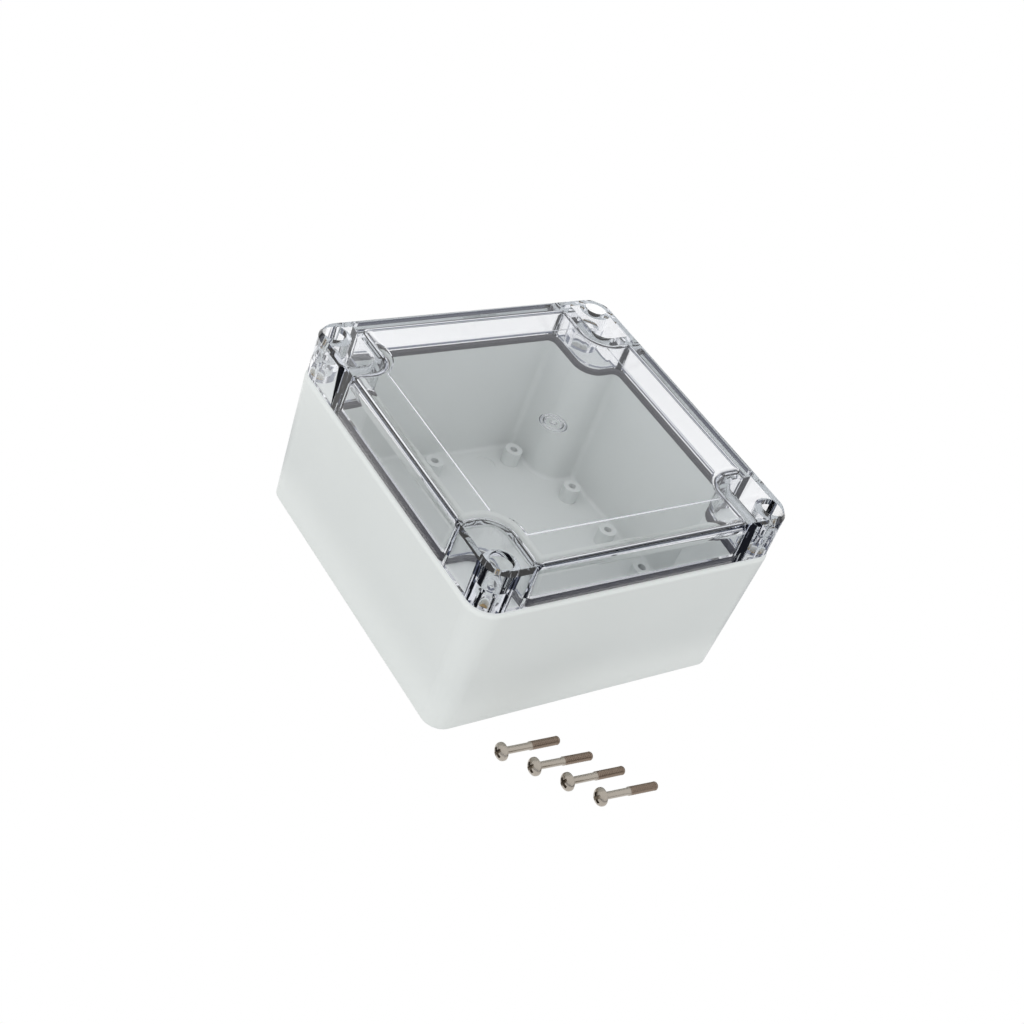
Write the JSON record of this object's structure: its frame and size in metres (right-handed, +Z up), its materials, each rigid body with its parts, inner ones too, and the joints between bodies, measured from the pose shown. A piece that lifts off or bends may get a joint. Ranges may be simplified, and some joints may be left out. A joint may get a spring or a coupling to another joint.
{
  "type": "electronics enclosure",
  "caption": "Square sealed wall box with a drafted opaque base, a clear deep lid on a gasket, corner screw lugs, and its loose lid screws lying in front.",
  "frame": {"origin": "centre of the base's underside", "axes": "+X to the right along the front side, +Y from the front side to the back, +Z up through the lid"},
  "size_m": [0.1198, 0.1612, 0.0695],
  "materials": {
    "grey_polycarbonate": "satin",
    "clear_polycarbonate": "polished, clear",
    "gasket_rubber": "matte",
    "insert_brass": "turned",
    "screw_steel": "plated, satin"
  },
  "bodies": {
    "base": {"base": "grey_polycarbonate", "thread_insert_1": "insert_brass", "thread_insert_2": "insert_brass", "thread_insert_3": "insert_brass", "thread_insert_4": "insert_brass"},
    "lid": {"lid": "clear_polycarbonate", "gasket": "gasket_rubber"},
    "screw_1": {"lid_screw_1": "screw_steel"},
    "screw_2": {"lid_screw_2": "screw_steel"},
    "screw_3": {"lid_screw_3": "screw_steel"},
    "screw_4": {"lid_screw_4": "screw_steel"}
  },
  "joints": [
    {"name": "lid_lift", "type": "slide", "parent": "base", "child": "lid", "axis": [0, 0, 1], "range_m": [0, 0.05]},
    {"name": "screw_1_lift", "type": "slide", "parent": "base", "child": "screw_1", "axis": [0, 0, 1], "range_m": [0, 0.03]},
    {"name": "screw_2_lift", "type": "slide", "parent": "base", "child": "screw_2", "axis": [0, 0, 1], "range_m": [0, 0.03]},
    {"name": "screw_3_lift", "type": "slide", "parent": "base", "child": "screw_3", "axis": [0, 0, 1], "range_m": [0, 0.03]},
    {"name": "screw_4_lift", "type": "slide", "parent": "base", "child": "screw_4", "axis": [0, 0, 1], "range_m": [0, 0.03]}
  ]
}
